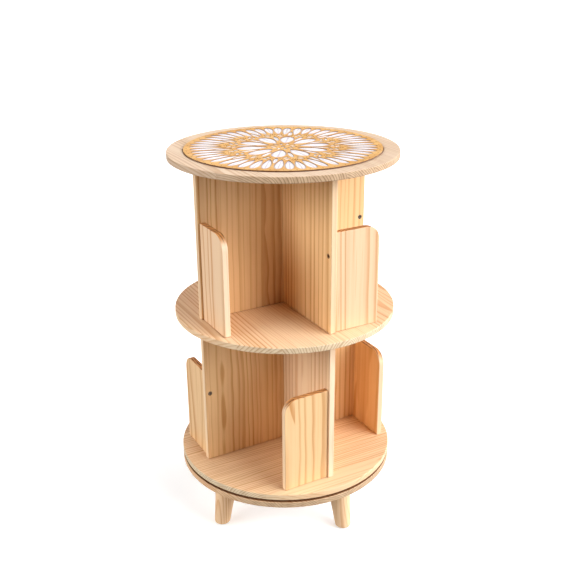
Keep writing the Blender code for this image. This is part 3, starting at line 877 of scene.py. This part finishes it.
def leg_mesh(node, bolt, foot, hole_bottom):
    """A turned taper with an upright bolt hole, leaning from its bolt out to its glide."""
    low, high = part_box(node)
    hole = BOLT_RADIUS + FIT
    points = [(0, hole_bottom), (hole, hole_bottom), (hole, high.z)]
    points += [(LEG_TOP_RADIUS, high.z), (LEG_FOOT_RADIUS, low.z), (0, low.z)]
    profile = fillet(points, [0, 0, 0, LEG_TOP_ROUND, LEG_FOOT_ROUND, 0], LEG_ROUND_STEPS)
    mesh = lathe(node, profile, LEG_SEGMENTS)
    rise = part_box("base_board")[0].z
    for vertex in mesh.vertices:
        in_hole = vertex.co.xy.length < hole + CLOSE and vertex.co.z > hole_bottom - CLOSE
        share = 0.0 if in_hole else (rise - vertex.co.z) / rise
        vertex.co.x += bolt.x + (foot.x - bolt.x) * share
        vertex.co.y += bolt.y + (foot.y - bolt.y) * share
    return mesh


def add_legs():
    for number in NUMBERS:
        node = f"leg_{number}"
        bolt = centre_of(f"hanger_bolt_{number}")
        foot = centre_of(f"glide_{number}")
        hole_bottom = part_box(f"hanger_bolt_{number}")[0].z - FIT
        mesh = leg_mesh(node, bolt, foot, hole_bottom)
        seed = LEG_SEED + number * LEG_SEED_STEP
        looks = ("ZXY", seed, LEG_STAVE, LEG_RING, LEG_WOOD)
        material = pine("pine_" + node, *looks, wear=0.0, shift=(bolt.x, bolt.y, 0))
        add_piece(node + "_turned", mesh, "base", material, [node], SMALL_SMOOTH_ANGLE)

        glide = f"glide_{number}"
        low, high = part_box(glide)
        radius = (high.x - low.x) / 2
        points = [(0, high.z), (radius, high.z), (radius, low.z), (GLIDE_DIMPLE_RADIUS, low.z)]
        points += [(GLIDE_DIMPLE_FLOOR, low.z + GLIDE_DIMPLE_EDGE), (0, low.z + GLIDE_DIMPLE_DEPTH)]
        radii = [0, GLIDE_TOP_ROUND, GLIDE_FOOT_ROUND, 0, 0, 0]
        mesh = lathe(glide, fillet(points, radii, ROUND_STEPS), SMALL_SEGMENTS)
        mesh.transform(Matrix.Translation((foot.x, foot.y, 0)))
        add_piece(glide + "_pad", mesh, "base", GLIDE, [glide], SMALL_SMOOTH_ANGLE)


# -------------------- ornament

SECTORS = 10
SECTOR = math.tau / SECTORS
LEAF_TURN = SECTOR / 5
LEAF_ROUNDNESS = 0.5
LEAF_STEPS = 16


def leaf_sides(axis, half_width, fullness):
    """The two edges of a leaf; fullness moves its widest place towards the far end."""
    left, right = [], []
    last = len(axis) - 1
    for k, point in enumerate(axis):
        ahead = axis[min(k + 1, last)] - axis[max(k - 1, 0)]
        normal = Vector((-ahead.y, ahead.x)).normalized()
        bulge = math.sin(math.pi * (k / last) ** fullness) ** LEAF_ROUNDNESS if 0 < k < last else 0.0
        left.append(point + normal * half_width * bulge)
        right.append(point - normal * half_width * bulge)
    return left, right


def radial_leaf(angle, inner, outer, inner_turn, outer_turn):
    """The middle line of a leaf between two radii, each with its own small turn off the angle."""
    start = polar(inner, angle + inner_turn).xy
    end = polar(outer, angle + outer_turn).xy
    return [start.lerp(end, step / LEAF_STEPS) for step in range(LEAF_STEPS + 1)]


FAN_GATHER = 0.86
FAN_FULLNESS = 1.5
FAN_LEAVES = (
    # inner radius, outer radius and half width, from the fan's middle outwards
    (0.1070, 0.1632, 0.0079),
    (0.1040, 0.1625, 0.0078),
    (0.0965, 0.1604, 0.0077),
)
CRADLE_LEAVES = (
    # inner and outer radius, the turns there off the rosette, and half width
    (0.0885, 0.0985, 0.055, 0.175, 0.0030),
    (0.0800, 0.0895, 0.085, 0.200, 0.0028),
)
# inner and outer radius, half width and fullness
LEAVES_BETWEEN = ((0.0880, 0.1230, 0.0040, 0.8), (0.0265, 0.0820, 0.0127, 1.35))
LEAVES_IN_LINE = ((0.0450, 0.0840, 0.0040, 1.0), (0.0110, 0.0240, 0.0026, 1.3))


def leaves():
    """Every leaf of the pattern as (middle line, half width, fullness)."""
    found = []
    for sector in range(SECTORS):
        angle = sector * SECTOR
        # a fan of five leaves over each small rosette
        for k in (-2, -1, 0, 1, 2):
            inner, outer, width = FAN_LEAVES[abs(k)]
            turn = k * LEAF_TURN
            found.append((radial_leaf(angle, inner, outer, turn * FAN_GATHER, turn), width, FAN_FULLNESS))
        # small leaves that cradle the rosette on either side
        for side in (-1, 1):
            for inner, outer, inner_turn, outer_turn, width in CRADLE_LEAVES:
                line = radial_leaf(angle, inner, outer, inner_turn * side, outer_turn * side)
                found.append((line, width, 1.0))
        for turn, rows in ((SECTOR / 2, LEAVES_BETWEEN), (0.0, LEAVES_IN_LINE)):
            for inner, outer, width, fullness in rows:
                found.append((radial_leaf(angle, inner, outer, turn, turn), width, fullness))
    return found


# Round openings: where they lie, from the middle or from their rosette's, and how big they are
MIDDLE_DOT = 0.0042
ROSETTE_PLACE = 0.0985
ROSETTE_EYE = 0.0017
ROSETTE_PETALS = 7
ROSETTE_PETAL_PLACE = 0.0046
ROSETTE_PETAL = 0.00125
INNER_DOT_PLACE = 0.0890
INNER_DOT_TURN = 0.25
INNER_DOT = 0.0013
RIM_DOT_PLACE = 0.1656
RIM_DOT = 0.0012
DOT_STEPS = 14


def dots():
    """Round openings as (centre, radius)."""
    found = [(Vector((0, 0)), MIDDLE_DOT)]
    for sector in range(SECTORS):
        angle = sector * SECTOR
        rosette = polar(ROSETTE_PLACE, angle).xy
        found.append((rosette, ROSETTE_EYE))
        for k in range(ROSETTE_PETALS):
            petal = polar(ROSETTE_PETAL_PLACE, angle + k * math.tau / ROSETTE_PETALS).xy
            found.append((rosette + petal, ROSETTE_PETAL))
        for side in (-1, 1):
            found.append((polar(INNER_DOT_PLACE, angle + INNER_DOT_TURN * side).xy, INNER_DOT))
        # one dot between each leaf of the fan and the next
        for k in range(5):
            found.append((polar(RIM_DOT_PLACE, angle + (k - 1.5) * LEAF_TURN).xy, RIM_DOT))
    return found


SCALLOPS = 50
SCALLOP_DEPTH = 0.0011
RIM_STEPS = 6


def rim_outline(radius):
    """The outer edge: shallow scallops that meet in small notches."""
    points = []
    for k in range(SCALLOPS * RIM_STEPS):
        share = (k % RIM_STEPS) / RIM_STEPS
        notch = SCALLOP_DEPTH * (1 - math.sin(math.pi * share)) ** 3
        points.append(polar(radius - notch, k * math.tau / (SCALLOPS * RIM_STEPS)).xy)
    return points


def moved_in(points, reach, outwards):
    """The loop moved into the plate by reach; outwards is 1 for the rim and -1 for an opening."""
    result = []
    count = len(points)
    for k, point in enumerate(points):
        along = points[(k + 1) % count] - points[k - 1]
        normal = Vector((along.y, -along.x)).normalized()
        result.append(point - normal * reach * outwards)
    return result


def anticlockwise(points):
    area = sum(a.cross(b) for a, b in zip(points, points[1:] + points[:1]))
    return points if area > 0 else points[::-1]


SAME_POINT = 1e-9
INSIDE_PLATE = [0]


def plate_mesh(name, rim, openings, bottom, top, bevel):
    """A flat plate with openings and slightly broken edges, from loops of points."""
    loops = [anticlockwise(loop) for loop in [rim] + openings]
    capped = [moved_in(loop, bevel, 1 if k == 0 else -1) for k, loop in enumerate(loops)]
    flat = [point for loop in capped for point in loop]
    faces, start = [], 0
    for loop in capped:
        faces.append(list(range(start, start + len(loop))))
        start += len(loop)
    found = delaunay_2d_cdt(flat, [], faces, 1, SAME_POINT)
    triangles = [face for face, origin in zip(found[2], found[5]) if list(origin) == INSIDE_PLATE]
    if len(found[0]) != len(flat):
        raise ValueError("two loops of the fretwork cross")
    shape = bmesh.new()
    outline = [point for loop in loops for point in loop]
    cap_top = [shape.verts.new((p.x, p.y, top)) for p in flat]
    wall_top = [shape.verts.new((p.x, p.y, top - bevel)) for p in outline]
    wall_bottom = [shape.verts.new((p.x, p.y, bottom + bevel)) for p in outline]
    cap_bottom = [shape.verts.new((p.x, p.y, bottom)) for p in flat]
    back = {found_index: origin[0] for found_index, origin in enumerate(found[3])}
    for triangle in triangles:
        corners = [back[index] for index in triangle]
        shape.faces.new([cap_top[index] for index in corners])
        shape.faces.new([cap_bottom[index] for index in corners[::-1]])
    for face in faces:
        for here, ahead in zip(face, face[1:] + face[:1]):
            for upper, lower in ((cap_top, wall_top), (wall_top, wall_bottom), (wall_bottom, cap_bottom)):
                shape.faces.new([upper[here], upper[ahead], lower[ahead], lower[here]])
    return mesh_from(shape, name)


PETAL_GAP = 0.00035
PETAL_BASE = 0.0002
PETAL_RISE = 0.0010
PETAL_TIP = 0.3
# across half a petal: place from its edge to its middle, and height; a groove runs down the middle
PETAL_LOBE = ((-1.0, 0.0), (-0.82, 0.55), (-0.5, 0.95), (-0.18, 0.6), (0.0, 0.2))


def carved_leaf(shape, axis, half_width, fullness, low, high):
    """A white petal with two rounded lobes and a groove down its middle."""
    left, right = leaf_sides(axis, half_width - PETAL_GAP, fullness)
    rows = []
    section = PETAL_LOBE + tuple((-x, height) for x, height in PETAL_LOBE[-2::-1])
    last = len(axis) - 1
    for k in range(1, last):
        fade = math.sqrt(math.sin(math.pi * (k / last)))
        middle = (left[k] + right[k]) / 2
        reach = (left[k] - right[k]) / 2
        row = []
        for x, height in section:
            point = middle + reach * x
            row.append(shape.verts.new((point.x, point.y, low + (high - low) * height * fade)))
        rows.append(row)
    start = shape.verts.new((*axis[0].lerp(axis[1], PETAL_TIP), low))
    end = shape.verts.new((*axis[-1].lerp(axis[-2], PETAL_TIP), low))
    for below, above in zip(rows, rows[1:]):
        for i in range(len(section) - 1):
            shape.faces.new([below[i], below[i + 1], above[i + 1], above[i]])
        shape.faces.new([below[-1], below[0], above[0], above[-1]])
    for tip, row in ((start, rows[0]), (end, rows[-1])):
        for i in range(len(section)):
            shape.faces.new([tip, row[i], row[(i + 1) % len(section)]])


FRETWORK_BEVEL = 0.00015
PANEL_RING = 0.08
PANEL_ROUND = 0.0004
PANEL_STEPS = 3
PETAL_SMOOTH_ANGLE = 60


def add_ornament():
    low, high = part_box("ornament_fretwork")
    openings = []
    for axis, width, fullness in leaves():
        left, right = leaf_sides(axis, width, fullness)
        openings.append(left + right[-2:0:-1])
    for centre, size in dots():
        openings.append([centre + polar(size, k * math.tau / DOT_STEPS).xy for k in range(DOT_STEPS)])
    mesh = plate_mesh("fretwork", rim_outline(high.x), openings, low.z, high.z, FRETWORK_BEVEL)
    add_piece("fretwork", mesh, "rack", GOLD, ["ornament_fretwork"])

    low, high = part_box("ornament_backing")
    points = [(0, low.z), (PANEL_RING, low.z), (high.x, low.z), (high.x, high.z)]
    points += [(PANEL_RING, high.z), (0, high.z)]
    profile = fillet(points, [0, 0, PANEL_ROUND, PANEL_ROUND, 0, 0], PANEL_STEPS)
    mesh = lathe("white_panel", profile, DISC_SEGMENTS)
    add_piece("white_panel", mesh, "rack", WHITE, ["ornament_backing"])

    shape = bmesh.new()
    for axis, width, fullness in leaves():
        carved_leaf(shape, axis, width, fullness, high.z - PETAL_BASE, high.z + PETAL_RISE)
    mesh = mesh_from(shape, "carved_petals")
    add_piece("carved_petals", mesh, "rack", WHITE, (), PETAL_SMOOTH_ANGLE)


# -------------------- hidden parts, floor, light, camera

def dress_cad_nodes():
    """Better materials for the CAD solids that stay."""
    rows = (
        (["bearing_lower_plate", "bearing_upper_plate", "bearing_eyelet"], ZINC),
        (["bearing_ball_cage"], BEARING),
        ([f"hanger_bolt_{n}" for n in NUMBERS] + [f"tee_nut_{n}" for n in NUMBERS], ZINC),
        ([f"middle_dowel_{n}" for n in NUMBERS], BEECH),
    )
    for names, material in rows:
        for name in names:
            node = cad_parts[name]
            node.data.materials.clear()
            node.data.materials.append(material)
            node.data.shade_smooth()
            node.data.set_sharp_from_angle(angle=math.radians(SMOOTH_ANGLE))


FLOOR_REACH = 60.0
FLOOR_NEAR = 2.0
FLOOR_TOP = -0.0002
FLOOR_BOTTOM = -0.01
FLOOR_SEGMENTS = 64
FLOOR_GLOW = 0.35


def add_floor():
    """A pale floor that neither tints the rack nor shows in its gloss."""
    profile = [(0, FLOOR_TOP), (FLOOR_NEAR, FLOOR_TOP), (FLOOR_REACH, FLOOR_TOP)]
    profile += [(FLOOR_REACH, FLOOR_BOTTOM), (0, FLOOR_BOTTOM)]
    floor = add_object("floor", lathe("floor", profile, FLOOR_SEGMENTS))
    graph = Graph("pale_floor")
    tone = graph.noise(graph.surface()[0], 2.0, 2.0)
    colour = graph.mix(graph.fit(tone, 0.3, 0.7), rgb(247, 247, 247), rgb(251, 251, 251))
    floor.data.materials.append(graph.finish(colour, 0.85, Emission_Strength=FLOOR_GLOW))
    floor.visible_diffuse = False
    floor.visible_glossy = False


NEUTRAL = (1.0, 1.0, 1.0)
COOL = (0.98, 1.0, 1.12)
SOFTBOXES = (
    # name, azimuth from the front (-Y) towards +X in degrees, elevation in degrees, strength, colour
    ("right", 90, 15, 1.5, COOL),
    ("right_front", 60, 15, 2.15, NEUTRAL),
    ("front_low", 30, 15, 1.9, NEUTRAL),
    ("front_high", 30, 45, 1.75, NEUTRAL),
    ("left", -90, 20, 1.75, NEUTRAL),
    ("left_back", -120, 20, 1.3, NEUTRAL),
    ("back", 165, 18, 1.5, NEUTRAL),
    ("top", 60, 75, 0.4, NEUTRAL),
)
SOFTBOX_SPREAD = math.radians(40)


def add_lights():
    """Soft boxes all round, brightest from the front right; the back one gives no glare."""
    for name, azimuth, elevation, strength, colour in SOFTBOXES:
        data = bpy.data.lights.new(name, "SUN")
        data.angle = SOFTBOX_SPREAD
        data.energy = strength
        data.color = colour
        light = add_object(name, data)
        side, rise = math.radians(azimuth), math.radians(elevation)
        towards = Vector(
            (math.sin(side) * math.cos(rise), -math.cos(side) * math.cos(rise), math.sin(rise))
        )
        light.rotation_mode = "QUATERNION"
        light.rotation_quaternion = (-towards).to_track_quat("-Z", "Y")
        light.visible_glossy = name != "back"
    SCENE.world = pale_world()
    SCENE.view_settings.view_transform = "Standard"


FILL = 0.36
BACKDROP = 1.0
HORIZON_SOFTNESS = 0.1


def pale_world():
    """A pale backdrop for the camera, which lights the rack only dimly and only from below."""
    world = bpy.data.worlds.new("studio")
    world.use_nodes = True
    graph = Graph("studio", world.node_tree)
    height = graph.split(graph.node("ShaderNodeTexCoord").outputs["Generated"])[2]
    limits = {"From Min": HORIZON_SOFTNESS, "From Max": -HORIZON_SOFTNESS, "To Max": FILL}
    below = graph.node("ShaderNodeMapRange", {"Value": height, **limits}).outputs[0]
    seen = graph.node("ShaderNodeLightPath").outputs["Is Camera Ray"]
    strength = graph.node("ShaderNodeMix", {"Factor": seen, "A": below, "B": BACKDROP}).outputs[0]
    background = world.node_tree.nodes["Background"]
    graph.put(background.inputs["Color"], (1.0, 1.0, 1.0, 1.0))
    graph.put(background.inputs["Strength"], strength)
    return world


CAMERA_PLACE = (-0.6966, -1.2602, 1.0158)
CAMERA_AZIMUTH = math.radians(-29.2)
CAMERA_PITCH = math.radians(21.9692)
CAMERA_ROLL = math.radians(-0.3854)
LENS_MM = 53.007425
SENSOR_MM = 36.0
CLIP_NEAR = 0.01
CLIP_FAR = 300.0


def add_camera():
    data = bpy.data.cameras.new("camera")
    camera = add_object("camera", data)
    data.sensor_width = SENSOR_MM
    data.lens = LENS_MM
    data.clip_start = CLIP_NEAR
    data.clip_end = CLIP_FAR
    forward = Vector((0, math.cos(CAMERA_PITCH), -math.sin(CAMERA_PITCH)))
    right = Vector((1, 0, 0))
    up = right.cross(forward)
    turn = Matrix.Rotation(CAMERA_AZIMUTH, 3, "Z")
    rolled_right = math.cos(CAMERA_ROLL) * right + math.sin(CAMERA_ROLL) * up
    rolled_up = -math.sin(CAMERA_ROLL) * right + math.cos(CAMERA_ROLL) * up
    axes = Matrix((turn @ rolled_right, turn @ rolled_up, -(turn @ forward))).transposed()
    camera.matrix_world = Matrix.Translation(CAMERA_PLACE) @ axes.to_4x4()
    SCENE.camera = camera


# each number seeds the grain of its tier's boards
add_discs()
add_uprights("lower", 20.13)
add_uprights("upper", 41.37)
add_stops("lower", 60.7)
add_stops("upper", 80.9)
add_screws()
add_legs()
add_ornament()
dress_cad_nodes()
add_floor()
add_lights()
add_camera()
